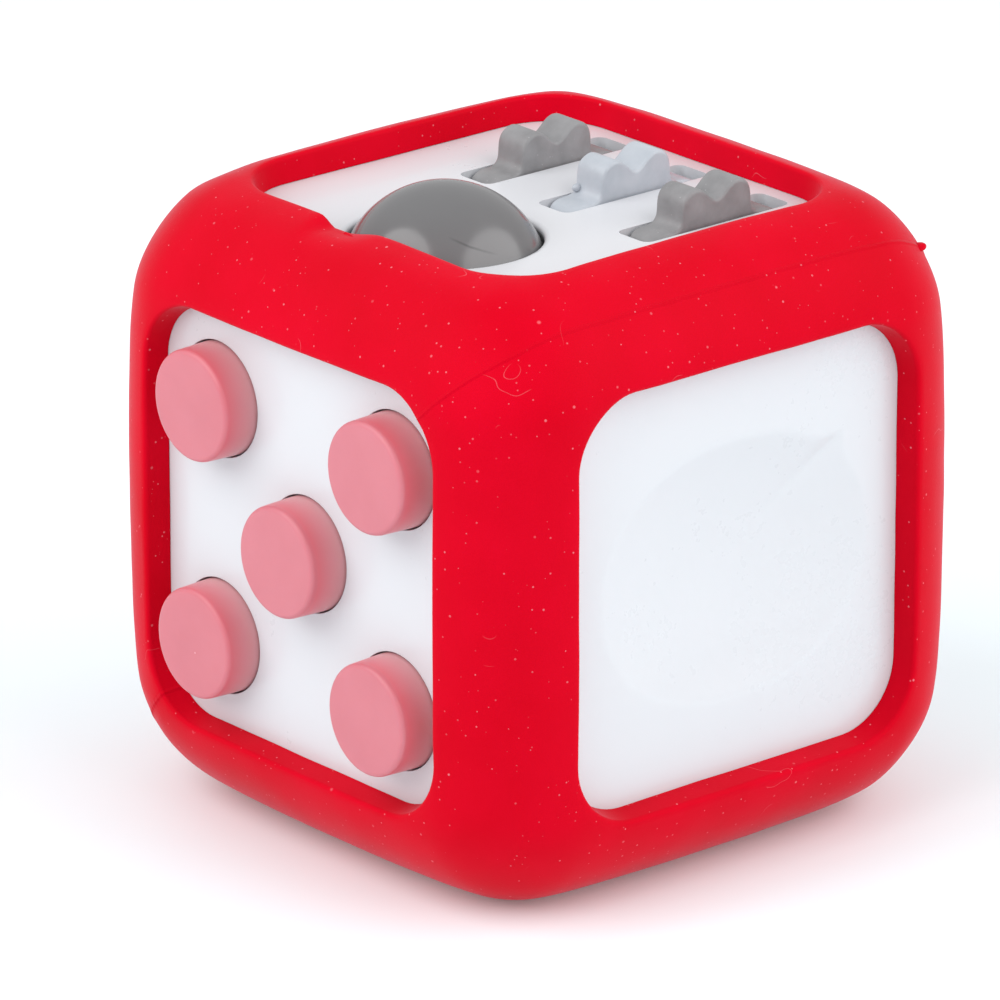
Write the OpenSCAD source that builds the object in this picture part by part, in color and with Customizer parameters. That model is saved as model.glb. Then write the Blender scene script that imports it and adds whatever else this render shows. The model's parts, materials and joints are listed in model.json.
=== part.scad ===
// Fidget cube: a silicone sleeve over six plastic panels, five of which carry a toy for the fingers.
// The origin is the middle of the plane it stands on, with +Z up. The push buttons face -Y,
// the worry dish +X, the ball and thumb gears +Z, the joystick +Y, the rocker -X and the dial -Z.

/* [Cube] */
// Side of the cube over the sleeve, in mm
cube_side = 33; // [32.8:0.1:33.2]
// Thickness of the silicone over a panel
sleeve_t = 1.5; // [1.4:0.05:1.6]
// Outer edge radius of the sleeve
sleeve_r = 5.3; // [5:0.1:5.4]
// Side of each rounded square window in the sleeve
window_side = 21.9; // [21.6:0.1:22]
// Corner radius of a window
window_r = 3.5; // [3:0.1:4]
// Thickness of a panel
panel_t = 1.6; // [1.5:0.05:1.65]

/* [Push buttons] */
// Radius of a push button
button_r = 2.9; // [2.7:0.05:2.95]
// Height of a button over its panel
button_rise = 2.2; // [2:0.1:2.2]
// How far a button goes in
button_travel = 0.8; // [0.5:0.1:0.8]

/* [Rolling ball and thumb gears] */
// Radius of the rolling ball
ball_r = 5.36; // [5.3:0.02:5.38]
// Height of the ball over its panel
ball_rise = 2.76; // [2.6:0.02:2.8]
// Pitch radius of the rounded teeth of a thumb gear
tooth_pitch_r = 3.65; // [3.6:0.01:3.66]
// Radius of a rounded tooth
tooth_r = 0.88; // [0.84:0.01:0.9]
// Teeth of a thumb gear
teeth = 8; // [8]
// Width of a thumb gear
gear_w = 2.1; // [1.9:0.1:2.1]
// Spacing of the gears along their axle
gear_pitch = 6.1; // [6:0.05:6.1]

/* [Joystick, rocker and dial] */
// Radius of the joystick's thumb cap
cap_r = 4; // [3.6:0.1:4]
// Radius of the rocker's rounded ends about its pin
rocker_r = 5.6; // [5.4:0.05:5.6]
// Half of the rocker's swing, in degrees
rocker_tilt = 7; // [5:0.5:7]
// Radius of the spinning dial
dial_r = 7.6; // [7:0.1:7.7]

/* [Hidden] */
$fn = 64;

sleeve_c = "#e4002a";
panel_c = "#ecedf3";
pink_c = "#e48c96";
dark_c = "#808082";
light_c = "#b2b8c0";
inner_c = "#d8d8d4";
steel_c = "#b8babd";

gap = 0.05;                             // gap between pieces that only touch
run = 0.06;                             // radial clearance of a turning fit
big = 60;                               // longer than the cube
half = cube_side / 2;
panel_top = half - sleeve_t;            // outer plane of a panel, from the cube's middle
panel_in = panel_top - panel_t;         // inner plane of a panel
panel_r = 3.9;                          // edge radius of the six panels together
mitre_gap = 0.03;
lug_at = 8.5;                           // lugs sit this far either side of the middle
lug_w = 4;
lug_end = panel_in - 3;                 // a lug reaches in to here
lug_face = panel_in - 0.75;             // clears the rounded inner edge of its neighbour

button_x = 6.9;
button_y = 6.35;
button_hole_r = button_r + 0.15;
flange_r = 3.5;
flange_t = 0.7;
flange_top = panel_in - 0.1;
dome_r = 2.1;
dome_top = flange_top - flange_t - gap;
dome_pressed_h = 0.85;
pad_t = 0.5;
pad_top = dome_top - button_travel - dome_pressed_h;
click_plate_top = pad_top - pad_t;
plate_t = 1;

ball_x = 0.65;
ball_y = -6.6;
ball_z = panel_top + ball_rise - ball_r;
ball_seat_r = ball_r + 0.14;
cup_in = ball_r + gap;
cup_out = 6.1;
cup_rim = ball_z - 1.5;
stem_r = 0.9;

gear_x = 0.7;                           // middle gear
gear_y = 5.2;
gear_z = 12.75;
gear_bore_r = 0.86;
axle_r = gear_bore_r - run;
axle_from = -8.6;
axle_l = 18.6;
bracket_in = [-7.4, 8.8];               // inner faces of the axle's two brackets
spacer_r = 1.6;
slot_w = gear_w + 0.3;
slot_l = 9.7;
slot_r = 0.5;
roll_plate_top = 7.6;
roll_boss_x = 8.9;
roll_boss_y = [-2.5, 11];
roll_boss_r = 1.2;
seat_floor = 2.2;                       // top of the floor under the ball's spring
comb_t = 0.3;

screw_r = 0.5;
screw_head_r = 1.1;
screw_head_t = 0.6;
screw_l = 2.05;
pilot_r = screw_r + 0.02;
through_r = screw_r + gap;
ear_t = 1;

pivot_w = 12;                           // crossing point of the joystick's two axes
dish_depth = 0.8;
dish_r = 16;
ring_in = 1.9;
ring_out = 2.7;
trunnion_r = 0.4;
joy_stem_r = 1.2;
joy_floor = 6.6;
joy_box = 6.2;
foot_top = 8.9;

rocker_w = 12.6;                        // height of the rocker's pin from the cube's middle
rocker_half_w = 3.2;
rocker_pin_r = 0.5;
rocker_edge = 15.72;                    // top edges of the rocker when level
rocker_floor = 9.4;
cheek_in = 3.5;
cheek_out = 4.3;

dial_top = 16.1;
dial_under = 14.6;
dial_recess = 14.4;
dial_shaft_r = 1.6;
dial_shaft_end = 13;
groove_at = 5.5;
detent_r = 0.6;

module lifted() translate([0, 0, half]) children();

// Face frames: local +Z points out of the face, and local Y is up on the four upright faces.
module click_side() lifted() rotate([90, 0, 0]) children();
module glide_side() lifted() rotate([90, 0, 180]) children();
module worry_side() lifted() rotate([90, 0, 90]) children();
module switch_side() lifted() rotate([90, 0, -90]) children();
module roll_side() lifted() children();
module spin_side() lifted() rotate([180, 0, 0]) children();

function arc(cx, cy, r, from, to, steps) =
    [for (i = [0:steps]) let (a = from + (to - from) * i / steps) [cx + r * cos(a), cy + r * sin(a)]];

module round_square(half_side, r) {
    c = half_side - r;
    polygon([for (q = [0:3]) each arc(c * sign(cos(q * 90 + 45)), c * sign(sin(q * 90 + 45)), r,
        q * 90, q * 90 + 90, 8)]);
}

module slot_outline(length, width, r) {
    polygon([for (q = [0:3]) each arc((width / 2 - r) * sign(cos(q * 90 + 45)),
        (length / 2 - r) * sign(sin(q * 90 + 45)), r, q * 90, q * 90 + 90, 8)]);
}

// A cube of half side h with edges rounded to r; a sphere takes the points off its corners.
module round_block(h, r) {
    intersection() {
        intersection_for(turn = [[0, 0, 0], [90, 0, 0], [0, 90, 0]])
            rotate(turn) translate([0, 0, -h]) linear_extrude(2 * h) round_square(h, r);
        sphere((h - r) * sqrt(3) + 1.04 * r, $fn = 96);
    }
}

module block(x, y, z) translate([x[0], y[0], z[0]]) cube([x[1] - x[0], y[1] - y[0], z[1] - z[0]]);

// ---- sleeve and panels ----

module rubber_frame() {
    cavity = panel_top + 0.02;
    color(sleeve_c) lifted() difference() {
        round_block(half, sleeve_r);
        round_block(cavity, panel_r);
        for (turn = [[0, 0, 0], [90, 0, 0], [0, 90, 0]])
            rotate(turn) translate([0, 0, -half - 1]) linear_extrude(cube_side + 2)
                round_square(window_side / 2, window_r);
        translate([ball_x, ball_y, ball_z]) sphere(ball_r + 0.2);
    }
}

// One of six mitred panels, open inside, with outward face up.
module panel_blank() {
    intersection() {
        difference() {
            round_block(panel_top, panel_r);
            round_block(panel_in, panel_r - panel_t);
        }
        translate([0, 0, mitre_gap]) rotate([0, -45, 0]) translate([0, -big / 2, 0]) cube(big);
        translate([0, 0, mitre_gap]) rotate([45, 0, 0]) translate([-big / 2, 0, 0]) cube(big);
    }
}

// Two lugs along each of two opposite edges, glued behind the neighbouring panels.
module lugs() {
    for (side = [0, 180], at = [-lug_at, lug_at]) rotate([0, 0, side]) {
        block([at - lug_w / 2, at + lug_w / 2], [lug_face - 1.1, lug_face], [lug_end, panel_in + 0.3]);
        block([at - lug_w / 2, at + lug_w / 2], [lug_face - 0.3, panel_in - gap], [lug_end, lug_end + 0.7]);
    }
}

module pilot_holes(places) {
    for (p = places) translate([p[0], p[1], panel_in - 1]) cylinder(r = pilot_r, h = 2.1, $fn = 24);
}

click_screws = [[-9.6, 0], [9.6, 0], [0, -9.4]];
glide_screws = [[-7.8, 0], [7.8, 0]];
switch_screws = [[-6.2, 0], [6.2, 0]];
roll_screws = [for (x = [-roll_boss_x, roll_boss_x], y = roll_boss_y) [x, y]];
buttons = [[-button_x, button_y], [button_x, button_y], [0, 0], [-button_x, -button_y],
    [button_x, -button_y]];

// Posts that stand on the inside of the click panel and carry its back plate.
module click_posts() {
    for (p = click_screws) translate([p[0], p[1], click_plate_top])
        cylinder(r = 1.05, h = panel_in + 0.3 - click_plate_top, $fn = 32);
}

module click_panel() {
    color(panel_c) click_side() difference() {
        union() {
            panel_blank();
            rotate([0, 0, 90]) lugs();
            click_posts();
        }
        for (b = buttons) translate([b[0], b[1], panel_in - 1]) cylinder(r = button_hole_r, h = panel_t + 2);
        for (p = click_screws) translate([p[0], p[1], click_plate_top - 1])
            cylinder(r = pilot_r, h = 2.6, $fn = 24);
    }
}

module worry_panel() {
    back = 12.4;                        // thicker behind the dish
    centre = 17;
    color(panel_c) worry_side() difference() {
        union() {
            panel_blank();
            lugs();
            block([-9.5, 9.5], [-7.5, 7.5], [back, panel_in + 0.3]);
        }
        translate([0.2, -0.2, centre]) scale([11.06, 8.55, 3.3]) sphere(1, $fn = 64);
    }
}

module roll_panel() {
    bracket = [gear_y - 1.3, gear_y + 1.3];
    color(panel_c) roll_side() difference() {
        union() {
            panel_blank();
            lugs();
            for (x = [[axle_from, bracket_in[0]], [bracket_in[1], axle_from + axle_l]])
                block(x, bracket, [gear_z - 2, panel_in + 0.3]);
            for (p = roll_screws) translate([p[0], p[1], roll_plate_top])
                cylinder(r = roll_boss_r, h = panel_in + 0.3 - roll_plate_top, $fn = 32);
        }
        translate([ball_x, ball_y, ball_z]) sphere(ball_seat_r);
        for (i = [-1:1]) translate([gear_x + i * gear_pitch, gear_y, panel_in - 1])
            linear_extrude(panel_t + 2) slot_outline(slot_l, slot_w, slot_r);
        translate([axle_from - 1, gear_y, gear_z]) rotate([0, 90, 0]) cylinder(r = axle_r + 0.01, h = axle_l + 2);
        translate([bracket_in[0], gear_y, gear_z]) rotate([0, 90, 0])
            cylinder(r = spacer_r + 0.1, h = bracket_in[1] - bracket_in[0]);
        for (p = roll_screws) translate([p[0], p[1], roll_plate_top - 1])
            cylinder(r = pilot_r, h = 2.6, $fn = 24);
    }
}

module glide_panel() {
    color(panel_c) glide_side() difference() {
        union() {
            panel_blank();
            rotate([0, 0, 90]) lugs();
        }
        translate([0, 0, panel_top - dish_depth + dish_r]) sphere(dish_r, $fn = 96);
        translate([0, 0, panel_in - 1]) cylinder(r = 2.2, h = panel_t + 1);
        pilot_holes(glide_screws);
    }
}

module switch_panel() {
    color(panel_c) switch_side() difference() {
        union() {
            panel_blank();
            lugs();
        }
        intersection() {
            block([-3.3, 3.3], [-8, 8], [panel_in - 1, panel_top + 1]);
            translate([-4, 0, rocker_w]) rotate([0, 90, 0]) cylinder(r = rocker_r + 0.1, h = 8);
        }
        pilot_holes(switch_screws);
    }
}

module spin_panel() {
    color(panel_c) spin_side() difference() {
        union() {
            panel_blank();
            lugs();
            translate([groove_at, 0, 11.6]) cylinder(r = 1.3, h = 2);
        }
        translate([0, 0, dial_recess]) cylinder(r = dial_r + 0.3, h = 2);
        translate([0, 0, panel_in - 1]) cylinder(r = dial_shaft_r + run, h = panel_t + 2);
        translate([groove_at, 0, 12.1]) cylinder(r = detent_r + gap, h = 3, $fn = 32);
    }
}

// ---- push buttons ----

module button(place) {
    edge = 0.3;
    top = panel_top + button_rise;
    color(pink_c) click_side() translate([place[0], place[1], 0]) {
        translate([0, 0, flange_top - flange_t]) cylinder(r = flange_r, h = flange_t);
        translate([0, 0, flange_top - flange_t]) cylinder(r = button_r, h = top - edge - flange_top + flange_t);
        translate([0, 0, top - edge]) cylinder(r1 = button_r, r2 = button_r - edge, h = edge);
    }
}

module button_upper_left() button(buttons[0]);
module button_upper_right() button(buttons[1]);
module button_centre() button(buttons[2]);
module button_lower_left() button(buttons[3]);
module button_lower_right() button(buttons[4]);

// Clears the ball's cup over its whole travel, in the click face's frame.
module cup_notch(r, from, to) translate([ball_x, ball_z, from]) cylinder(r = r, h = to - from);

module dome_pad() {
    color(inner_c) click_side() difference() {
        union() {
            block([-8.4, 8.4], [-8.2, 9.4], [pad_top - pad_t + gap, pad_top]);
            for (b = buttons) translate([b[0], b[1], pad_top - gap])
                cylinder(r1 = dome_r, r2 = 1.4, h = dome_top - pad_top + gap);
        }
        for (b = buttons) translate([b[0], b[1], pad_top - pad_t - gap])
            cylinder(r1 = 1.6, r2 = 0.9, h = 1.5);
        cup_notch(6, 9, 12);
    }
}

module snap_discs() {
    color(steel_c) click_side() for (i = [0, 2, 4]) translate([buttons[i][0], buttons[i][1], click_plate_top + gap])
        cylinder(r1 = 1.45, r2 = 1, h = 0.2);
}

module click_back_plate() {
    color(inner_c) click_side() difference() {
        block([-10.8, 10.8], [-10.4, 9.8], [click_plate_top - plate_t, click_plate_top]);
        cup_notch(6.5, 9, 12);
        for (p = click_screws) translate([p[0], p[1], 9]) cylinder(r = through_r, h = 3, $fn = 24);
    }
}

// ---- rolling ball ----

module roll_ball() color(dark_c) roll_side() translate([ball_x, ball_y, ball_z]) sphere(ball_r);

module ball_cup() {
    bottom = ball_z - cup_out;
    color(inner_c) roll_side() translate([ball_x, ball_y, 0]) difference() {
        union() {
            intersection() {
                translate([0, 0, ball_z]) sphere(cup_out);
                translate([0, 0, bottom - 1]) cylinder(r = 8, h = cup_rim - bottom + 1);
            }
            translate([0, 0, 1]) cylinder(r = stem_r, h = bottom);
        }
        translate([0, 0, ball_z]) sphere(cup_in);
    }
}

module ball_spring() {
    color(steel_c) roll_side() translate([ball_x, ball_y, seat_floor + gap]) difference() {
        cylinder(r = 1.8, h = ball_z - cup_out - seat_floor - 0.4);
        translate([0, 0, -1]) cylinder(r = 1.35, h = 8);
    }
}

// ---- thumb gears ----

module thumb_gear(tone, i) {
    color(tone) roll_side() translate([gear_x + i * gear_pitch - gear_w / 2, gear_y, gear_z])
        rotate([0, 90, 0]) linear_extrude(gear_w) difference() {
            union() {
                circle(tooth_pitch_r - 0.15);
                for (t = [0:teeth - 1]) rotate((t + 0.5) * 360 / teeth)
                    translate([tooth_pitch_r, 0]) circle(tooth_r);
            }
            circle(gear_bore_r);
        }
}

module gear_left() thumb_gear(dark_c, -1);
module gear_middle() thumb_gear(light_c, 0);
module gear_right() thumb_gear(dark_c, 1);

module gear_axle() {
    color(steel_c) roll_side() translate([axle_from, gear_y, gear_z]) rotate([0, 90, 0])
        cylinder(r = axle_r, h = axle_l);
}

module gear_spacers() {
    side = gear_w / 2 + 0.1;
    spans = [[bracket_in[0] + gap, gear_x - gear_pitch - side], [gear_x - gear_pitch + side, gear_x - side],
        [gear_x + side, gear_x + gear_pitch - side], [gear_x + gear_pitch + side, bracket_in[1] - gap]];
    color(inner_c) roll_side() for (s = spans) translate([s[0], gear_y, gear_z]) rotate([0, 90, 0])
        difference() {
            cylinder(r = spacer_r, h = s[1] - s[0]);
            translate([0, 0, -1]) cylinder(r = axle_r + 0.02, h = s[1] - s[0] + 2);
        }
}

comb_pegs = [gear_x - gear_pitch / 2, gear_x + gear_pitch / 2];
comb_y = 10.7;

// A comb of three springy fingers, each with a bump that rests between two teeth.
module gear_click_spring() {
    bump_r = 0.5;
    color(steel_c) roll_side() difference() {
        union() {
            block([gear_x - 7, gear_x + 7], [9.9, 11.5], [roll_plate_top + gap, roll_plate_top + 0.45]);
            for (i = [-1:1]) translate([gear_x + i * gear_pitch, 0, 0]) {
                block([-0.9, 0.9], [gear_y - 0.7, 10], [roll_plate_top + 0.15, roll_plate_top + 0.15 + comb_t]);
                translate([-0.8, gear_y, gear_z - 4.15]) rotate([0, 90, 0])
                    cylinder(r = bump_r, h = 1.6, $fn = 32);
                block([-0.8, 0.8], [gear_y - 0.35, gear_y + 0.35], [roll_plate_top + 0.3, gear_z - 4.15]);
            }
        }
        for (x = comb_pegs) translate([x, comb_y, 7]) cylinder(r = 0.55, h = 3, $fn = 32);
    }
}

module roll_back_plate() {
    under = roll_plate_top - plate_t;
    color(inner_c) roll_side() difference() {
        union() {
            block([-10.1, 10.1], [-4.4, 12.2], [under, roll_plate_top]);
            block([ball_x - 6.4, ball_x + 6.4], [-8.8, -4.4], [seat_floor - 1, roll_plate_top]);
            for (x = comb_pegs) translate([x, comb_y, under]) cylinder(r = 0.5, h = plate_t + 0.9, $fn = 32);
        }
        block([ball_x - 5.2, ball_x + 5.2], [-9, -4.4], [seat_floor, roll_plate_top + 1]);
        translate([ball_x, ball_y, under - 2]) cylinder(r = 5.2, h = 4);
        translate([ball_x, ball_y, 0]) cylinder(r = stem_r + run, h = 4);
        for (i = [-1:1]) translate([gear_x + i * gear_pitch, 0, 0])
            block([-1.3, 1.3], [3.6, 9.4], [under - 1, roll_plate_top + 1]);
        for (p = roll_screws) translate([p[0], p[1], under - 1]) cylinder(r = through_r, h = 3, $fn = 24);
    }
}

// ---- joystick ----

module joystick_cap() {
    top = panel_top + button_rise;
    under = pivot_w + 4;
    color(dark_c) glide_side() difference() {
        union() {
            translate([0, 0, under]) cylinder(r1 = cap_r - 0.45, r2 = cap_r, h = 0.45);
            translate([0, 0, under + 0.45]) cylinder(r = cap_r, h = top - under - 0.6);
            translate([0, 0, top - 0.15]) cylinder(r1 = cap_r, r2 = cap_r - 0.15, h = 0.15);
        }
        translate([0, 0, top + 11.5]) sphere(12, $fn = 96);
        translate([0, 0, under - 1]) cylinder(r = 0.72, h = 1.4);
    }
}

module joystick_stem() {
    color(inner_c) glide_side() difference() {
        union() {
            translate([0, 0, foot_top + gap]) cylinder(r = joy_stem_r, h = pivot_w + 4 - foot_top - 2 * gap);
            translate([0, 0, pivot_w + 3]) cylinder(r = 0.7, h = 1.3);
        }
        translate([0, 2, pivot_w]) rotate([90, 0, 0]) cylinder(r = 0.37, h = 4, $fn = 32);
        translate([0, 0, foot_top - 1]) cylinder(r = pilot_r, h = 2, $fn = 32);
    }
}

module gimbal_ring() {
    color(steel_c) glide_side() difference() {
        union() {
            translate([0, 0, pivot_w - 0.6]) cylinder(r = ring_out, h = 1.2);
            for (s = [-1, 1]) translate([s * 2.2, 0, pivot_w]) rotate([0, s * 90, 0])
                cylinder(r = trunnion_r, h = 1.6, $fn = 32);
        }
        translate([0, 0, pivot_w - 1]) cylinder(r = ring_in, h = 2);
        translate([0, 3, pivot_w]) rotate([90, 0, 0]) cylinder(r = 0.4, h = 6, $fn = 32);
    }
}

module gimbal_pin() {
    color(steel_c) glide_side() translate([0, 2.6, pivot_w]) rotate([90, 0, 0]) cylinder(r = 0.35, h = 5.2, $fn = 32);
}

// A flat foot screwed under the stem; the spring under it stands the stick upright again.
module joystick_foot() {
    color(inner_c) glide_side() {
        translate([0, 0, foot_top - 0.6]) cylinder(r = 2.4, h = 0.6);
        translate([0, 0, foot_top - 0.2]) cylinder(r = screw_r, h = 1.1, $fn = 32);
    }
}

module joystick_spring() {
    color(steel_c) glide_side() translate([0, 0, joy_floor + gap]) difference() {
        cylinder(r = 1.9, h = foot_top - 0.6 - joy_floor - 2 * gap);
        translate([0, 0, -1]) cylinder(r = 1.5, h = 5);
    }
}

module glide_back_plate() {
    rim = panel_in - gap;
    color(inner_c) glide_side() difference() {
        union() {
            difference() {
                block([-joy_box, joy_box], [-joy_box, joy_box], [joy_floor - plate_t, rim]);
                block([-joy_box + 0.9, joy_box - 0.9], [-joy_box + 0.9, joy_box - 0.9], [joy_floor, rim + 1]);
            }
            for (s = [-1, 1]) {
                block([s * 3.5 - 0.4, s * 3.5 + 0.4], [-0.9, 0.9], [joy_floor - 0.5, pivot_w + 0.8]);
                block([s * 7.3 - 1.9, s * 7.3 + 1.9], [-1.6, 1.6], [rim - ear_t, rim]);
            }
        }
        block([-joy_box + 0.9, joy_box - 0.9], [-1.7, 1.7], [pivot_w + 0.8, rim + 1]);
        translate([-4, 0, pivot_w]) rotate([0, 90, 0]) cylinder(r = trunnion_r + gap, h = 8, $fn = 32);
        for (p = glide_screws) translate([p[0], p[1], 11]) cylinder(r = through_r, h = 3, $fn = 24);
    }
}

// ---- rocker switch ----

// Outline of the rocker's side when level: two flats that meet in a shallow valley, and a cam nose below.
module rocker_side() {
    reach = 4.8;
    valley = rocker_edge - reach * tan(rocker_tilt) - rocker_w;
    edge = rocker_edge + (8 - reach) * tan(rocker_tilt) - rocker_w;
    polygon([[-8, -0.9], [-1.1, -0.9], [-0.5, -1.9], [0.5, -1.9], [1.1, -0.9], [8, -0.9], [8, edge],
        [0, valley], [-8, edge]]);
}

module switch_rocker() {
    color(pink_c) switch_side() translate([0, 0, rocker_w]) rotate([-rocker_tilt, 0, 0]) difference() {
        intersection() {
            translate([-rocker_half_w, 0, 0]) rotate([90, 0, 90]) linear_extrude(2 * rocker_half_w) rocker_side();
            translate([-rocker_half_w - 1, 0, 0]) rotate([0, 90, 0])
                cylinder(r = rocker_r, h = 2 * rocker_half_w + 2);
        }
        translate([-4, 0, 0]) rotate([0, 90, 0]) cylinder(r = rocker_pin_r + gap, h = 8, $fn = 32);
    }
}

module switch_pin() {
    color(steel_c) switch_side() translate([-cheek_out, 0, rocker_w]) rotate([0, 90, 0])
        cylinder(r = rocker_pin_r, h = 2 * cheek_out, $fn = 32);
}

module switch_leaf_spring() {
    floor_w = rocker_floor + gap;
    color(steel_c) switch_side() translate([-1.2, 0, 0]) rotate([90, 0, 90]) linear_extrude(2.4)
        polygon([[-4.6, floor_w], [-3.6, floor_w], [-1.2, floor_w + 0.85], [-0.6, floor_w + 0.75], [0, floor_w + 0.85],
            [0.6, floor_w + 0.75], [1.2, floor_w + 0.85], [3.6, floor_w], [4.6, floor_w], [4.6, floor_w + 0.2],
            [3.65, floor_w + 0.2], [1.2, floor_w + 1.1], [0.6, floor_w + 1], [0, floor_w + 1.15],
            [-0.6, floor_w + 1], [-1.2, floor_w + 1.1], [-3.65, floor_w + 0.2], [-4.6, floor_w + 0.2]]);
}

module switch_back_plate() {
    rim = panel_in - gap;
    color(inner_c) switch_side() difference() {
        union() {
            block([-cheek_out, cheek_out], [-5.6, 5.6], [rocker_floor - 0.8, rocker_floor]);
            for (s = [-1, 1]) {
                cheek = (cheek_in + cheek_out) / 2;
                block([s * cheek - 0.4, s * cheek + 0.4], [-2.2, 2.2], [rocker_floor - 0.5, rim]);
                block([s * 5.7 - 1.7, s * 5.7 + 1.7], [-1.6, 1.6], [rim - ear_t, rim]);
            }
        }
        translate([-5, 0, rocker_w]) rotate([0, 90, 0]) cylinder(r = rocker_pin_r + 0.01, h = 10, $fn = 32);
        for (p = switch_screws) translate([p[0], p[1], 11]) cylinder(r = through_r, h = 3, $fn = 24);
    }
}

// ---- dial ----

module spin_dial() {
    edge = 0.3;
    color(light_c) spin_side() difference() {
        union() {
            translate([0, 0, dial_under]) cylinder(r = dial_r, h = dial_top - edge - dial_under);
            translate([0, 0, dial_top - edge]) cylinder(r1 = dial_r, r2 = dial_r - edge, h = edge);
            translate([0, 0, dial_shaft_end]) cylinder(r = dial_shaft_r, h = 2);
        }
        translate([-4.2, 0, dial_top + 4.6]) sphere(5.4);
        translate([0, 0, dial_under]) rotate_extrude() translate([groove_at, 0]) circle(detent_r + gap, $fn = 32);
        translate([0, 0, dial_shaft_end - 1]) cylinder(r = pilot_r, h = 2.9, $fn = 24);
    }
}

module dial_washer() {
    color(steel_c) spin_side() translate([0, 0, dial_shaft_end - gap - 0.4]) difference() {
        cylinder(r = 2.6, h = 0.4);
        translate([0, 0, -1]) cylinder(r = through_r, h = 3, $fn = 24);
    }
}

module dial_screw() {
    head_top = dial_shaft_end - 2 * gap - 0.4;
    color(steel_c) spin_side() {
        translate([0, 0, head_top - screw_head_t]) cylinder(r = screw_head_r, h = screw_head_t);
        translate([0, 0, head_top - 0.2]) cylinder(r = screw_r, h = screw_l + 0.2, $fn = 24);
    }
}

module dial_detent_ball() {
    color(steel_c) spin_side() translate([groove_at, 0, dial_under - 0.05]) sphere(detent_r, $fn = 32);
}

module dial_detent_spring() {
    color(steel_c) spin_side() translate([groove_at, 0, 12.15]) difference() {
        cylinder(r = 0.55, h = 1.7, $fn = 32);
        translate([0, 0, -1]) cylinder(r = 0.3, h = 4, $fn = 32);
    }
}

// ---- screws ----

module screw_pair(places, head_face) {
    for (p = places) translate([p[0], p[1], head_face]) {
        translate([0, 0, -screw_head_t - gap]) cylinder(r = screw_head_r, h = screw_head_t, $fn = 32);
        translate([0, 0, -0.3]) cylinder(r = screw_r, h = screw_l + 0.3, $fn = 24);
    }
}

module module_screws() {
    ear = panel_in - gap - ear_t;
    color(steel_c) {
        click_side() screw_pair(click_screws, click_plate_top - plate_t);
        roll_side() screw_pair(roll_screws, roll_plate_top - plate_t);
        glide_side() screw_pair(glide_screws, ear);
        switch_side() screw_pair(switch_screws, ear);
    }
}

rubber_frame();
click_panel();
worry_panel();
roll_panel();
glide_panel();
switch_panel();
spin_panel();
button_upper_left();
button_upper_right();
button_centre();
button_lower_left();
button_lower_right();
dome_pad();
snap_discs();
click_back_plate();
roll_ball();
ball_cup();
ball_spring();
gear_left();
gear_middle();
gear_right();
gear_axle();
gear_spacers();
gear_click_spring();
roll_back_plate();
joystick_cap();
joystick_stem();
gimbal_ring();
gimbal_pin();
joystick_foot();
joystick_spring();
glide_back_plate();
switch_rocker();
switch_pin();
switch_leaf_spring();
switch_back_plate();
spin_dial();
dial_washer();
dial_screw();
dial_detent_ball();
dial_detent_spring();
module_screws();
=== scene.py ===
import json
import math

import bpy
from mathutils import Matrix, Vector, noise


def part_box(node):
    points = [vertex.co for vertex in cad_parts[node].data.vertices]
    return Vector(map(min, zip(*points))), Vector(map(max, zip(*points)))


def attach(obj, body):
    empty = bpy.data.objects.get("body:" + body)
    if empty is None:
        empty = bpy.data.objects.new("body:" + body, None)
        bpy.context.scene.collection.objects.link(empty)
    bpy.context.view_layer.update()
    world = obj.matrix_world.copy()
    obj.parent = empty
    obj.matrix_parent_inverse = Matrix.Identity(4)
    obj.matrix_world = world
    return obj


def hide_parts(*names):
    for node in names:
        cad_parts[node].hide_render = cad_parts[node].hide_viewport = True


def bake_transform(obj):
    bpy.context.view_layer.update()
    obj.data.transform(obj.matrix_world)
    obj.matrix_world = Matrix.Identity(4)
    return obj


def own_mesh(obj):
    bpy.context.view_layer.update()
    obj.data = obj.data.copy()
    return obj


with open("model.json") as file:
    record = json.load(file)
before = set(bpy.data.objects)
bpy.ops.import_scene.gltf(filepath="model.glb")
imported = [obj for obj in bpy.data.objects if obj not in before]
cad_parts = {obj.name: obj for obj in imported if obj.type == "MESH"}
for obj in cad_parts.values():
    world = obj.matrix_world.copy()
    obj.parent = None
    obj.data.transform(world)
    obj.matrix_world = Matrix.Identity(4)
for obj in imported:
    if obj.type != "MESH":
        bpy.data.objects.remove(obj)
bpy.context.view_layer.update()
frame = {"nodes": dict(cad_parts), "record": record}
print("frame loaded")

mm = 0.001
sleeveLow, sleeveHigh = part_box("rubber_frame")
middle = (sleeveLow + sleeveHigh) / 2
half = (sleeveHigh.x - sleeveLow.x) / 2 / mm  # half of the cube's side, in mm
panelTop = (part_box("worry_panel")[1].x - middle.x) / mm  # outer plane of a panel, from the middle
ballLow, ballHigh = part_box("roll_ball")
ballCentre = (ballLow + ballHigh) / 2
ballRadius = (ballHigh.x - ballLow.x) / 2

# each face's own right, up and outward directions
faceAxes = {
    "click": ((1, 0, 0), (0, 0, 1), (0, -1, 0)),
    "glide": ((-1, 0, 0), (0, 0, 1), (0, 1, 0)),
    "worry": ((0, 1, 0), (0, 0, 1), (1, 0, 0)),
    "switch": ((0, -1, 0), (0, 0, 1), (-1, 0, 0)),
    "roll": ((1, 0, 0), (0, 1, 0), (0, 0, 1)),
    "spin": ((1, 0, 0), (0, -1, 0), (0, 0, -1)),
}


def faceMatrix(face):
    right, up, out = (Vector(a) for a in faceAxes[face])
    return Matrix.Translation(middle) @ Matrix((right, up, out)).transposed().to_4x4()


def deselectAll():
    if bpy.context.mode != "OBJECT":
        bpy.ops.object.mode_set(mode="OBJECT")
    bpy.ops.object.select_all(action="DESELECT")


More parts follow.
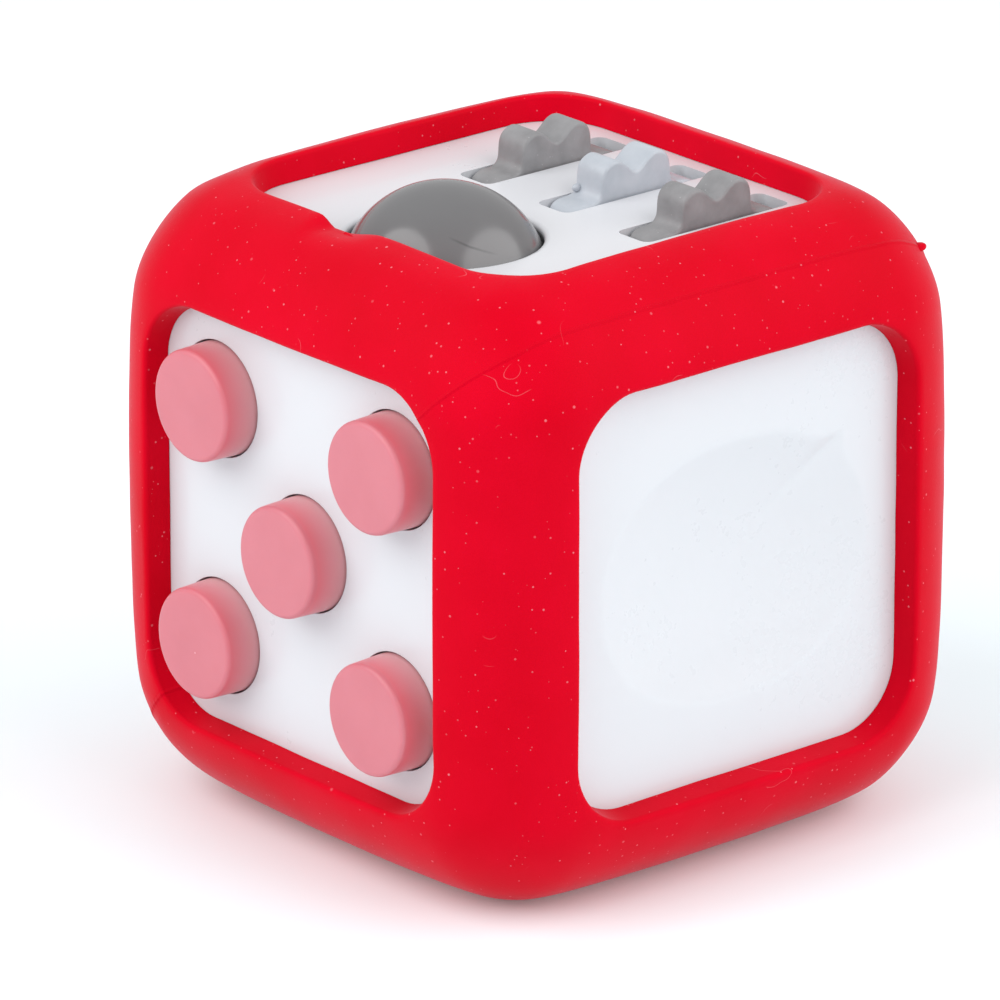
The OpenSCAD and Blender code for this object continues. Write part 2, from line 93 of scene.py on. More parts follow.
def selectOnly(obj):
    deselectAll()
    obj.select_set(True)
    bpy.context.view_layer.objects.active = obj


def named(name):
    obj = bpy.context.active_object
    obj.name = name
    obj.data.name = name
    return obj


def pickFaces(obj, wanted):  # selects the faces for which wanted(face) holds, and goes into edit mode
    selectOnly(obj)
    bpy.ops.object.mode_set(mode="EDIT")
    bpy.ops.mesh.select_mode(type="FACE")
    bpy.ops.mesh.select_all(action="DESELECT")
    bpy.ops.object.mode_set(mode="OBJECT")
    for face in obj.data.polygons:
        face.select = bool(wanted(face))
    bpy.ops.object.mode_set(mode="EDIT")


def pickEdges(obj, wanted):
    selectOnly(obj)
    bpy.ops.object.mode_set(mode="EDIT")
    bpy.ops.mesh.select_mode(type="EDGE")
    bpy.ops.mesh.select_all(action="DESELECT")
    bpy.ops.object.mode_set(mode="OBJECT")
    spots = obj.data.vertices
    for edge in obj.data.edges:
        edge.select = bool(wanted(spots[edge.vertices[0]].co, spots[edge.vertices[1]].co))
    bpy.ops.object.mode_set(mode="EDIT")


def leaveEdit():
    bpy.ops.object.mode_set(mode="OBJECT")


def extrudeBy(x, y, z):
    bpy.ops.mesh.extrude_region_move(TRANSFORM_OT_translate={"value": (x, y, z)})


def growFaces(amount):
    bpy.ops.transform.resize(value=(amount, amount, 1))


def applyAll(obj):
    selectOnly(obj)
    for modifier in list(obj.modifiers):
        bpy.ops.object.modifier_apply(modifier=modifier.name)


def roundEdges(obj, width, steps=3, angle=32):
    modifier = obj.modifiers.new("edges", "BEVEL")
    modifier.width = width * mm
    modifier.segments = steps
    modifier.limit_method = "ANGLE"
    modifier.angle_limit = math.radians(angle)
    applyAll(obj)


def smooth(obj, angle=30):
    selectOnly(obj)
    bpy.ops.object.shade_smooth_by_angle(angle=math.radians(angle))


def joined(first, *others):
    selectOnly(first)
    for obj in others:
        obj.select_set(True)
    bpy.ops.object.join()
    return first


def copyOf(obj, name):
    made = obj.copy()
    made.data = obj.data.copy()
    made.name = name
    made.data.name = name
    bpy.context.scene.collection.objects.link(made)
    return made


def mergedCopy(node, name, width, steps=3):  # a CAD node's copy with its edges rounded
    source = frame["nodes"][node]
    deselectAll()
    made = bpy.data.objects.new(name, source.data.copy())
    bpy.context.scene.collection.objects.link(made)
    selectOnly(made)
    made.data.materials.clear()
    if made.data.has_custom_normals:
        bpy.ops.mesh.customdata_custom_splitnormals_clear()
    bpy.ops.object.mode_set(mode="EDIT")
    bpy.ops.mesh.select_mode(type="VERT")
    bpy.ops.mesh.select_all(action="SELECT")
    bpy.ops.mesh.remove_doubles(threshold=0.004 * mm)
    bpy.ops.mesh.dissolve_limited(angle_limit=math.radians(0.5))
    leaveEdit()
    if width:
        roundEdges(made, width, steps)
    smooth(made, 35)
    return made


def finishPiece(obj, body, nodes, material):
    obj.data.materials.clear()
    obj.data.materials.append(material)
    if body:
        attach(obj, body)
    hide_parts(*nodes)


def newGroup(name, inputs, outputs):
    group = bpy.data.node_groups.new(name, "ShaderNodeTree")
    for label, kind, value in inputs:
        made = group.interface.new_socket(label, in_out="INPUT", socket_type=kind)
        if value is not None:
            made.default_value = value
    for label, kind in outputs:
        group.interface.new_socket(label, in_out="OUTPUT", socket_type=kind)
    start = group.nodes.new("NodeGroupInput")
    end = group.nodes.new("NodeGroupOutput")
    return group, start, end


def mathNode(tree, operation, first, second=None, clamp=False):
    node = tree.nodes.new("ShaderNodeMath")
    node.operation = operation
    node.use_clamp = clamp
    for i, value in enumerate((first, second)):
        if value is None:
            continue
        if isinstance(value, (int, float)):
            node.inputs[i].default_value = value
        else:
            tree.links.new(value, node.inputs[i])
    return node.outputs[0]


def noiseNode(tree, coordinates, scale, detail=2, rough=0.5):
    node = tree.nodes.new("ShaderNodeTexNoise")
    tree.links.new(coordinates, node.inputs["Vector"])
    if isinstance(scale, (int, float)):
        node.inputs["Scale"].default_value = scale
    else:
        tree.links.new(scale, node.inputs["Scale"])
    node.inputs["Detail"].default_value = detail
    node.inputs["Roughness"].default_value = rough
    return node.outputs["Fac"]


def steps(tree, value, low, high, outLow=0.0, outHigh=1.0):
    node = tree.nodes.new("ShaderNodeMapRange")
    tree.links.new(value, node.inputs["Value"])
    for label, number in (("From Min", low), ("From Max", high), ("To Min", outLow), ("To Max", outHigh)):
        node.inputs[label].default_value = number
    return node.outputs["Result"]


def mixColours(tree, factor, first, second):
    node = tree.nodes.new("ShaderNodeMix")
    node.data_type = "RGBA"
    tree.links.new(factor, node.inputs[0])
    for i, value in ((6, first), (7, second)):
        if isinstance(value, tuple):
            node.inputs[i].default_value = (*value, 1)
        else:
            tree.links.new(value, node.inputs[i])
    return node.outputs[2]


def mouldedGrain():  # fine moulded grain with broad smudges: a height, a tone and a gloss mask
    group, start, end = newGroup("mouldedGrain",
        [("Coordinates", "NodeSocketVector", None), ("Fine", "NodeSocketFloat", 9000.0),
         ("Broad", "NodeSocketFloat", 260.0)],
        [("Height", "NodeSocketFloat"), ("Tone", "NodeSocketFloat"), ("Gloss", "NodeSocketFloat")])
    place = start.outputs["Coordinates"]
    fine = noiseNode(group, place, start.outputs["Fine"], 3, 0.6)
    broad = noiseNode(group, place, start.outputs["Broad"], 3, 0.55)
    low = mathNode(group, "MULTIPLY", broad, 0.6)
    height = mathNode(group, "ADD", mathNode(group, "MULTIPLY", fine, 0.4), low)
    group.links.new(height, end.inputs["Height"])
    group.links.new(steps(group, broad, 0.3, 0.7), end.inputs["Tone"])
    narrow = mathNode(group, "MULTIPLY", fine, 0.35)
    patchy = mathNode(group, "ADD", narrow, mathNode(group, "MULTIPLY", broad, 0.65))
    group.links.new(steps(group, patchy, 0.35, 0.65), end.inputs["Gloss"])
    return group


def dustSpecks():  # scattered specks: a mask of round grains, some cells empty
    group, start, end = newGroup("dustSpecks",
        [("Coordinates", "NodeSocketVector", None), ("Density", "NodeSocketFloat", 900.0),
         ("Size", "NodeSocketFloat", 0.1), ("Share", "NodeSocketFloat", 0.3)],
        [("Mask", "NodeSocketFloat")])
    cells = group.nodes.new("ShaderNodeTexVoronoi")
    group.links.new(start.outputs["Coordinates"], cells.inputs["Vector"])
    group.links.new(start.outputs["Density"], cells.inputs["Scale"])
    apart = group.nodes.new("ShaderNodeSeparateColor")
    group.links.new(cells.outputs["Color"], apart.inputs["Color"])
    varied = mathNode(group, "ADD", apart.outputs[1], 0.35)
    reach = mathNode(group, "MULTIPLY", start.outputs["Size"], varied)
    inside = mathNode(group, "SUBTRACT", reach, cells.outputs["Distance"])
    soft = mathNode(group, "MULTIPLY", inside, 22.0, clamp=True)
    kept = mathNode(group, "LESS_THAN", apart.outputs[0], start.outputs["Share"])
    bright = mathNode(group, "ADD", mathNode(group, "MULTIPLY", apart.outputs[2], 0.7), 0.3)
    shown = mathNode(group, "MULTIPLY", soft, kept)
    group.links.new(mathNode(group, "MULTIPLY", shown, bright), end.inputs["Mask"])
    return group


def partingRidge():  # height of the thin mould line, on a slanted plane through the middle
    group, start, end = newGroup("partingRidge",
        [("Coordinates", "NodeSocketVector", None), ("Middle", "NodeSocketFloat", 0.0),
         ("Width", "NodeSocketFloat", 0.0002)],
        [("Height", "NodeSocketFloat")])
    apart = group.nodes.new("ShaderNodeSeparateXYZ")
    group.links.new(start.outputs["Coordinates"], apart.inputs[0])
    wander = mathNode(group, "MULTIPLY", noiseNode(group, start.outputs["Coordinates"], 300.0, 2), 0.0003)
    level = mathNode(group, "SUBTRACT", apart.outputs["Z"], start.outputs["Middle"])
    off = mathNode(group, "SUBTRACT", mathNode(group, "ADD", apart.outputs["X"], wander), level)
    away = mathNode(group, "ABSOLUTE", mathNode(group, "SUBTRACT", off, 0.00015))
    share = mathNode(group, "DIVIDE", away, start.outputs["Width"])
    group.links.new(mathNode(group, "SUBTRACT", 1.0, share, clamp=True), end.inputs["Height"])
    return group


def lintFibres():  # short thin curled lines in a few places
    group, start, end = newGroup("lintFibres",
        [("Coordinates", "NodeSocketVector", None), ("Curl", "NodeSocketFloat", 420.0),
         ("Width", "NodeSocketFloat", 0.0045)],
        [("Mask", "NodeSocketFloat")])
    place = start.outputs["Coordinates"]
    line = noiseNode(group, place, start.outputs["Curl"], 1)
    away = mathNode(group, "ABSOLUTE", mathNode(group, "SUBTRACT", line, 0.5))
    share = mathNode(group, "DIVIDE", away, start.outputs["Width"])
    thin = mathNode(group, "SUBTRACT", 1.0, share, clamp=True)
    where = steps(group, noiseNode(group, place, 310.0, 0), 0.74, 0.78)
    group.links.new(mathNode(group, "MULTIPLY", thin, where), end.inputs["Mask"])
    return group


grainGroup = mouldedGrain()
lintGroup = lintFibres()
dustGroup = dustSpecks()
ridgeGroup = partingRidge()


def groupNode(tree, group, coordinates, **values):
    node = tree.nodes.new("ShaderNodeGroup")
    node.node_tree = group
    tree.links.new(coordinates, node.inputs["Coordinates"])
    for label, value in values.items():
        node.inputs[label].default_value = value
    return node


def newMaterial(name, settings):
    material = bpy.data.materials.new(name)
    material.use_nodes = True
    tree = material.node_tree
    shader = next(n for n in tree.nodes if n.type == "BSDF_PRINCIPLED")
    place = tree.nodes.new("ShaderNodeTexCoord").outputs["Object"]
    for label, value in settings.items():
        shader.inputs[label].default_value = value
    return material, tree, shader, place


def dusted(tree, place, dust):  # dust is its density, size and share of filled cells
    density, size, share = dust
    return groupNode(tree, dustGroup, place, Density=density, Size=size, Share=share).outputs["Mask"]


def bumpFrom(tree, shader, height, strength, distance):
    node = tree.nodes.new("ShaderNodeBump")
    node.inputs["Strength"].default_value = strength
    node.inputs["Distance"].default_value = distance * mm
    tree.links.new(height, node.inputs["Height"])
    tree.links.new(node.outputs["Normal"], shader.inputs["Normal"])


def mouldedPlastic(name, look):
    material, tree, shader, place = newMaterial(name, look.get("fixed", {}))
    grain = groupNode(tree, grainGroup, place, Fine=look["fine"], Broad=look["broad"])
    colour = mixColours(tree, grain.outputs["Tone"], look["dark"], look["light"])
    if look.get("dust"):
        colour = mixColours(tree, dusted(tree, place, look["dust"]), colour, look["dustColour"])
    tree.links.new(colour, shader.inputs["Base Color"])
    tree.links.new(steps(tree, grain.outputs["Gloss"], 0, 1, *look["rough"]), shader.inputs["Roughness"])
    bumpFrom(tree, shader, grain.outputs["Height"], look["bump"], look["bumpDepth"])
    return material


siliconeLook = {
    "deep": (0.56, 0.0004, 0.010), "bright": (0.63, 0.0008, 0.015), "fine": 7000.0, "broad": 150.0,
    "rough": (0.4, 0.54), "bump": 0.55, "bumpDepth": 0.03, "ridge": 0.09,
    "dust": (0.8, 0.25, 0.29), "dustShare": 0.62, "lintShare": 0.55,
    "specks": ((620.0, 0.06, 0.45), (1500.0, 0.1, 0.5), (2600.0, 0.13, 0.45), (260.0, 0.04, 0.45)),
    "fixed": {
        "Specular IOR Level": 0.02, "Sheen Weight": 0.14, "Sheen Roughness": 0.35,
        "Sheen Tint": (0.85, 0.85, 1.0, 1), "Subsurface Weight": 0.03, "Subsurface Scale": 0.0006,
        "Subsurface Radius": (1.0, 0.12, 0.08),
    },
}


def silicone():  # matt and dusty, with lint and a mould line
    material, tree, shader, place = newMaterial("red silicone", siliconeLook["fixed"])
    grain = groupNode(tree, grainGroup, place, Fine=siliconeLook["fine"], Broad=siliconeLook["broad"])
    colour = mixColours(tree, grain.outputs["Tone"], siliconeLook["deep"], siliconeLook["bright"])
    lint = groupNode(tree, lintGroup, place).outputs["Mask"]
    mask = mathNode(tree, "MULTIPLY", lint, siliconeLook["lintShare"])
    for speck in siliconeLook["specks"]:
        mask = mathNode(tree, "MAXIMUM", mask, dusted(tree, place, speck))
    share = mathNode(tree, "MULTIPLY", mask, siliconeLook["dustShare"])
    colour = mixColours(tree, share, colour, siliconeLook["dust"])
    tree.links.new(colour, shader.inputs["Base Color"])
    rough = steps(tree, grain.outputs["Gloss"], 0, 1, *siliconeLook["rough"])
    tree.links.new(rough, shader.inputs["Roughness"])
    ridge = groupNode(tree, ridgeGroup, place, Middle=middle.z).outputs["Height"]
    raised = mathNode(tree, "MULTIPLY", ridge, siliconeLook["ridge"] / siliconeLook["bumpDepth"])
    height = mathNode(tree, "ADD", mathNode(tree, "ADD", grain.outputs["Height"], raised), mask)
    bumpFrom(tree, shader, height, siliconeLook["bump"], siliconeLook["bumpDepth"])
    return material


plasticLooks = {
    "panel": {"dark": (0.64, 0.65, 0.68), "light": (0.655, 0.662, 0.69), "fine": 1600.0, "broad": 90.0,
        "rough": (0.27, 0.31), "bump": 0.1, "bumpDepth": 0.0008, "dust": (420.0, 0.03, 0.1),
        "dustColour": (0.5, 0.47, 0.45),
        "fixed": {"Specular IOR Level": 0.45, "Coat Weight": 0.15, "Coat Roughness": 0.08}},
    "button": {"dark": (0.565, 0.155, 0.19), "light": (0.6, 0.175, 0.212), "fine": 5200.0, "broad": 300.0,
        "rough": (0.3, 0.42), "bump": 0.3, "bumpDepth": 0.006, "dust": (900.0, 0.05, 0.3),
        "dustColour": (0.95, 0.7, 0.72),
        "fixed": {"Specular IOR Level": 0.45, "Subsurface Weight": 0.1, "Subsurface Scale": 0.0008}},
    "darkGear": {"dark": (0.205, 0.203, 0.208), "light": (0.27, 0.268, 0.275), "fine": 6500.0,
        "broad": 700.0, "rough": (0.36, 0.58), "bump": 0.8, "bumpDepth": 0.02, "dust": (3800.0, 0.12, 0.5),
        "dustColour": (0.4, 0.4, 0.41), "fixed": {"Specular IOR Level": 0.5}},
    "lightGear": {"dark": (0.40, 0.435, 0.48), "light": (0.475, 0.505, 0.55), "fine": 6500.0,
        "broad": 700.0, "rough": (0.28, 0.45), "bump": 0.6, "bumpDepth": 0.015, "dust": (3800.0, 0.09, 0.2),
        "dustColour": (0.75, 0.77, 0.8), "fixed": {"Specular IOR Level": 0.5}},
    "inner": {"dark": (0.6, 0.6, 0.57), "light": (0.68, 0.68, 0.65), "fine": 5200.0, "broad": 400.0,
        "rough": (0.45, 0.6), "bump": 0.4, "bumpDepth": 0.01, "fixed": {"Specular IOR Level": 0.4}},
    "pad": {"dark": (0.6, 0.6, 0.58), "light": (0.7, 0.7, 0.68), "fine": 4200.0, "broad": 300.0,
        "rough": (0.55, 0.7), "bump": 0.4, "bumpDepth": 0.01, "fixed": {"Specular IOR Level": 0.35}},
    "steel": {"dark": (0.42, 0.42, 0.43), "light": (0.56, 0.56, 0.57), "fine": 9000.0, "broad": 900.0,
        "rough": (0.22, 0.36), "bump": 0.3, "bumpDepth": 0.004, "fixed": {"Metallic": 1.0}},
}

ballLook = {
    "dark": (0.122, 0.12, 0.123), "light": (0.131, 0.129, 0.132), "rough": (0.14, 0.22),
    "fine": 2500.0, "broad": 220.0, "grain": 0.15, "bump": 0.5, "bumpDepth": 0.02, "specular": 0.72,
    "dust": (1100.0, 0.05, 0.35), "dustColour": (0.5, 0.5, 0.5),
    "scratchColour": (0.05, 0.05, 0.05), "scratchShare": 0.8,
}


def ballPlastic():  # glossy, with one thin curved scratch
    settings = {"Specular IOR Level": ballLook["specular"]}
    material, tree, shader, place = newMaterial("dark ball plastic", settings)
    grain = groupNode(tree, grainGroup, place, Fine=ballLook["fine"], Broad=ballLook["broad"])
    colour = mixColours(tree, grain.outputs["Tone"], ballLook["dark"], ballLook["light"])
    colour = mixColours(tree, dusted(tree, place, ballLook["dust"]), colour, ballLook["dustColour"])
    scratch = scratchMask(tree, place)
    share = mathNode(tree, "MULTIPLY", scratch, ballLook["scratchShare"])
    colour = mixColours(tree, share, colour, ballLook["scratchColour"])
    tree.links.new(colour, shader.inputs["Base Color"])
    rough = steps(tree, grain.outputs["Gloss"], 0, 1, *ballLook["rough"])
    tree.links.new(rough, shader.inputs["Roughness"])
    grainHeight = mathNode(tree, "MULTIPLY", grain.outputs["Height"], ballLook["grain"])
    height = mathNode(tree, "SUBTRACT", grainHeight, scratch)
    bumpFrom(tree, shader, height, ballLook["bump"], ballLook["bumpDepth"])
    return material


scratchLook = {
    "towards": (0.7375, -0.2696, 0.6193), "across": (0.5625, 0.7254, -0.3542),
    "length": 1.35, "width": 0.1, "bow": -0.1, "deepest": (-3.0, -2.0),
}


def scratchMask(tree, place):  # a thin bowed line on the ball
    out = Vector(scratchLook["towards"]).normalized()
    along = Vector(scratchLook["across"]).normalized()
    side = out.cross(along).normalized()
    centre = ballCentre + out * ballRadius

    def measured(direction):
        node = tree.nodes.new("ShaderNodeVectorMath")
        node.operation = "DOT_PRODUCT"
        tree.links.new(place, node.inputs[0])
        node.inputs[1].default_value = direction
        away = mathNode(tree, "SUBTRACT", node.outputs["Value"], centre.dot(direction))
        return mathNode(tree, "MULTIPLY", away, 1 / mm)

    length = measured(along)
    bow = mathNode(tree, "MULTIPLY", mathNode(tree, "MULTIPLY", length, length), scratchLook["bow"])
    off = mathNode(tree, "ABSOLUTE", mathNode(tree, "ADD", measured(side), bow))
    wide = mathNode(tree, "DIVIDE", off, scratchLook["width"])
    thin = mathNode(tree, "SUBTRACT", 1.0, wide, clamp=True)
    share = mathNode(tree, "DIVIDE", mathNode(tree, "ABSOLUTE", length), scratchLook["length"])
    fade = mathNode(tree, "SUBTRACT", 1.0, mathNode(tree, "MULTIPLY", share, share), clamp=True)
    front = steps(tree, measured(out), *scratchLook["deepest"])
    return mathNode(tree, "MULTIPLY", mathNode(tree, "MULTIPLY", thin, fade), front)


pushLook = {  # depths in mm along Y, from the face to the foot
    "faceDepth": (-16.95, -16.65), "sideDepth": (-16.6, -15.0),
    # the foot colour is painted reflection of the white panel, paler than the plastic itself
    "side": (0.66, 0.15, 0.185), "foot": (0.62, 0.31, 0.33),
}


def pinkButtons():  # the push buttons: redder just behind the face, paler at the foot; the pale foot is painted reflection of the white panel round it
    material = mouldedPlastic("push button plastic", plasticLooks["button"])
    tree = material.node_tree
    shader = next(n for n in tree.nodes if n.type == "BSDF_PRINCIPLED")
    apart = tree.nodes.new("ShaderNodeSeparateXYZ")
    tree.links.new(tree.nodes.new("ShaderNodeTexCoord").outputs["Object"], apart.inputs[0])
    depth = apart.outputs["Y"]
    face = shader.inputs["Base Color"].links[0].from_socket
    # towards the foot the side fades into the painted reflection of the white panel
    paintedReflectionShare = steps(tree, depth, *(d * mm for d in pushLook["sideDepth"]))
    sideWithPaintedReflection = mixColours(tree, paintedReflectionShare, pushLook["side"], pushLook["foot"])
    faceShare = steps(tree, depth, *(d * mm for d in pushLook["faceDepth"]))
    tree.links.new(mixColours(tree, faceShare, face, sideWithPaintedReflection), shader.inputs["Base Color"])
    return material


materials = {name: mouldedPlastic(name + " material", look) for name, look in plasticLooks.items()}
materials["silicone"] = silicone()
materials["pushButton"] = pinkButtons()
materials["ball"] = ballPlastic()
print("materials made")


sleeveShape = {
    "grid": 48, "wallRing": 27, "filletRing": 30, "landRing": 34,  # rings out from a face's middle
    "core": 10.4, "bend": 1.95, "corner": 23.5, "meld": 16, "thick": 1.0, "cavity": 0.03,
    "window": 10.95, "windowCorner": 3.5, "fillet": 0.22, "taper": 0.22,
    "wobble": 0.045, "ridge": 0.035, "ridgeWidth": 0.12, "ballRoom": 0.16, "ballSwell": 0.5, "shy": 0.005,
}
rim = {  # this side of the top window lies a little low, with a notch beside the ball
    "floor": 14.9, "rise": 0.8, "low": 0.14, "notch": 0.5, "notchIn": (-3.3, -2.1), "notchOut": (-1.3, 1.6),
    "front": -11.1, "fade": 1.5, "back": (7, 10.6),
}


def windowPoint(side, offset):  # side from -1 to 1 between two corner middles; offset outwards
    corner = sleeveShape["windowCorner"]
    straight = sleeveShape["window"] - corner
    run = abs(side) * (straight + corner * math.pi / 4)
    sign = 1 if side >= 0 else -1
    if run <= straight:
        return sleeveShape["window"] + offset, sign * run
    angle = (run - straight) / corner
    reach = corner + offset
    return straight + reach * math.cos(angle), sign * (straight + reach * math.sin(angle))


def outerReach(direction):  # how far out the sleeve's skin lies along a direction from the middle
    core, radius = sleeveShape["core"], half - sleeveShape["core"]
    low, high = half * 0.9, half * 1.8
    for _ in range(18):  # halving the span
        reach = (low + high) / 2
        bent = sum(max(abs(c) * reach - core, 0) ** sleeveShape["bend"] for c in direction)
        edge = bent ** (1 / sleeveShape["bend"]) / radius
        level = edge ** sleeveShape["meld"] + (reach / sleeveShape["corner"]) ** sleeveShape["meld"]
        low, high = (reach, high) if level < 1 else (low, reach)
    return low


def outerHeight(a, b):  # height of the skin above a spot of a face
    out = half
    for _ in range(6):
        spot = Vector((a, b, out))
        out += (spot.normalized() * outerReach(spot.normalized())).z - out if spot.length else 0
        out = min(out, half)
    return out


def sleevePoint(u, v):  # u and v from -1 to 1 on a face; gives right, up and out, in mm
    ring = max(abs(u), abs(v)) * sleeveShape["grid"]
    flip = abs(v) > abs(u)
    major, minor = (v, u) if flip else (u, v)
    side = minor / abs(major)
    sign = 1 if major >= 0 else -1
    fillet, taper = sleeveShape["fillet"], sleeveShape["taper"]
    if ring <= sleeveShape["landRing"] + 0.01:
        rise = (ring - sleeveShape["wallRing"]) / (sleeveShape["filletRing"] - sleeveShape["wallRing"])
        turn = (ring - sleeveShape["filletRing"]) / (sleeveShape["landRing"] - sleeveShape["filletRing"])
        offset = fillet * (1 - math.cos(max(turn, 0) * math.pi / 2))
        out = outerHeight(*windowPoint(side, taper + fillet))
        out -= fillet - math.sqrt(max(fillet ** 2 - (fillet - offset) ** 2, 0))
        a, b = windowPoint(side, taper * min(rise, 1) + offset)
        if turn < 0:
            low = panelTop + sleeveShape["cavity"]
            out = low + (out - low) * rise
    else:
        near = windowPoint(side, taper + fillet)
        near = (*near, outerHeight(*near))
        share = (ring - sleeveShape["landRing"]) / (sleeveShape["grid"] - sleeveShape["landRing"])
        far = Vector((1, side, 1)).normalized()
        start = Vector(near).normalized()
        way = start.slerp(far, share) if start.angle(far) > 0 else far
        a, b, out = way * outerReach(way)
    a *= sign
    return (b, a, out) if flip else (a, b, out)


def sleeveOuter():
    deselectAll()
    bpy.ops.mesh.primitive_cube_add(size=2)
    obj = named("sleeve")
    bpy.ops.object.mode_set(mode="EDIT")
    bpy.ops.mesh.subdivide(number_cuts=2 * sleeveShape["grid"] - 1)
    leaveEdit()
    limit = sleeveShape["wallRing"] / sleeveShape["grid"]
    pickFaces(obj, lambda face: sorted(abs(c) for c in face.center)[1] < limit)
    bpy.ops.mesh.delete(type="FACE")
    leaveEdit()
    for spot in obj.data.vertices:
        spot.co = placeOnSleeve(spot.co)
    return obj


sideNames = {  # by axis and sign
    (0, 1): "worry", (0, -1): "switch", (1, 1): "glide", (1, -1): "click", (2, 1): "roll", (2, -1): "spin",
}


def placeOnSleeve(co):
    axis = max(range(3), key=lambda i: abs(co[i]))
    name = sideNames[(axis, 1 if co[axis] > 0 else -1)]
    right, up, out = (Vector(a) for a in faceAxes[name])
    a, b, c = sleevePoint(co.dot(right), co.dot(up))
    return right * a + up * b + out * c


def ramp(value, low, high):
    share = min(max((value - low) / (high - low), 0), 1)
    return share * share * (3 - 2 * share)


def wobbled(co, normal):  # soft unevenness of moulded silicone, and the mould line, in mm
    uneven = noise.noise(co * 0.16) + 0.5 * noise.noise(co * 0.42 + Vector((7, 3, 1)))
    moved = co + normal * sleeveShape["wobble"] * uneven
    off = abs(co.x - co.z) / math.sqrt(2)
    moved += normal * sleeveShape["ridge"] * math.exp(-(off / sleeveShape["ridgeWidth"]) ** 2)
    return lowerRim(clearOfBall(moved))


def clearOfBall(moved):  # pushed away from the ball, and swelling a little round it
    arm = moved - (ballCentre - middle) / mm
    room = ballRadius / mm + sleeveShape["ballRoom"]
    swell = sleeveShape["ballSwell"]
    if arm.length < room + swell:
        push = max(room - arm.length, 0) + 0.12 * max(room + swell - arm.length, 0)
        moved += arm.normalized() * push
    return moved


def lowerRim(moved):
    if moved.z > rim["floor"]:
        near = math.exp(-(max(rim["front"] - moved.y, 0) / rim["fade"]) ** 2) * ramp(-moved.y, *rim["back"])
        notch = ramp(moved.x, *rim["notchIn"]) * (1 - ramp(moved.x, *rim["notchOut"]))
        rise = min((moved.z - rim["floor"]) / rim["rise"], 1)
        moved.z -= near * rise * (rim["low"] + rim["notch"] * notch)
    limit = half - sleeveShape["shy"]
    return Vector([max(-limit, min(limit, c)) for c in moved])


def makeSleeve():
    obj = sleeveOuter()
    normals = [v.normal.copy() for v in obj.data.vertices]
    for spot, normal in zip(obj.data.vertices, normals):
        spot.co = wobbled(spot.co, normal)
    obj.data.transform(Matrix.Translation(middle) @ Matrix.Scale(mm, 4))
    wall = obj.modifiers.new("wall", "SOLIDIFY")
    wall.thickness = sleeveShape["thick"] * mm
    wall.offset = -1
    applyAll(obj)
    smooth(obj, 60)
    return obj


sleeve = makeSleeve()
print("sleeve made", len(sleeve.data.polygons))

nub = {"towards": (1.0, 1.07, 1.0), "size": 0.3, "stretch": (1.0, 1.5, 0.8)}


def makeNub():  # a bit of flash left on the mould line
    way = Vector(nub["towards"]).normalized()
    place = way * outerReach(way) * mm + middle
    deselectAll()
    bpy.ops.mesh.primitive_uv_sphere_add(segments=16, ring_count=10, radius=nub["size"] * mm,
        location=place)
    obj = named("flash nub")
    bpy.ops.object.mode_set(mode="EDIT")
    bpy.ops.mesh.select_all(action="SELECT")
    bpy.ops.transform.resize(value=nub["stretch"])
    leaveEdit()
    obj.data.transform(Matrix.Translation(obj.location))
    obj.location = (0, 0, 0)
    smooth(obj, 60)
    return obj


panelShape = {
    "edges": {
        "click_panel": 0.2, "roll_panel": 0.14, "glide_panel": 0.12, "switch_panel": 0.12,
        "spin_panel": 0.12,
    },
    "cornerReach": 21.75,  # how far a corner may stand from the middle, under the sleeve
    "ballHole": 5.4, "ballHoleEdge": 0.42,
}


def tuckCorners(obj):
    reach = panelShape["cornerReach"]
    for spot in obj.data.vertices:
        arm = spot.co - middle
        if arm.length > reach * mm:
            spot.co = middle + arm.normalized() * reach * mm


def easeBallHole(obj):  # the hole's outer edge is well rounded
    centre = ballCentre.xy
    reach = panelShape["ballHole"] * mm
    level = middle.z + (panelTop - 0.02) * mm

    def onRim(p, q):
        return all((c.xy - centre).length < reach and c.z > level for c in (p, q))

    pickEdges(obj, onRim)
    bpy.ops.mesh.bevel(offset=panelShape["ballHoleEdge"] * mm, segments=5)
    leaveEdit()


def makePanel(node, width):
    obj = mergedCopy(node, node.replace("_", "-"), 0)
    if node == "roll_panel":
        easeBallHole(obj)
    roundEdges(obj, width)
    tuckCorners(obj)
    smooth(obj, 35)
    return obj


panels = {node: makePanel(node, width) for node, width in panelShape["edges"].items()}
print("panels made")

dish = {
    "grid": 150, "side": 13.9, "back": 13.3, "thick": 1.5, "edge": 0.4, "reach": 10.5,
    "wide": 8.8, "tall": 6.8, "power": 2.15, "depth": 1.25, "soft": 0.035, "centre": (0.2, -0.2),
    "nickAngle": 38.5, "nickSpread": 4.5, "nick": 0.13,
}
lug = {"size": (4, 1.1, 2.9), "inset": 0.25, "tip": 0.5, "at": 8.5, "out": 12.1}


def dishDepth(x, y):
    x, y = x - dish["centre"][0], y - dish["centre"][1]
    power = dish["power"]
    reach = (abs(x / dish["wide"]) ** power + abs(y / dish["tall"]) ** power) ** (1 / power)
    turn = (math.degrees(math.atan2(y, x)) - dish["nickAngle"]) / dish["nickSpread"]
    reach /= 1 + dish["nick"] * math.exp(-abs(turn) ** 1.3)
    inside = 1 - reach * reach
    return dish["depth"] * (inside + math.sqrt(inside * inside + dish["soft"] ** 2)) / 2


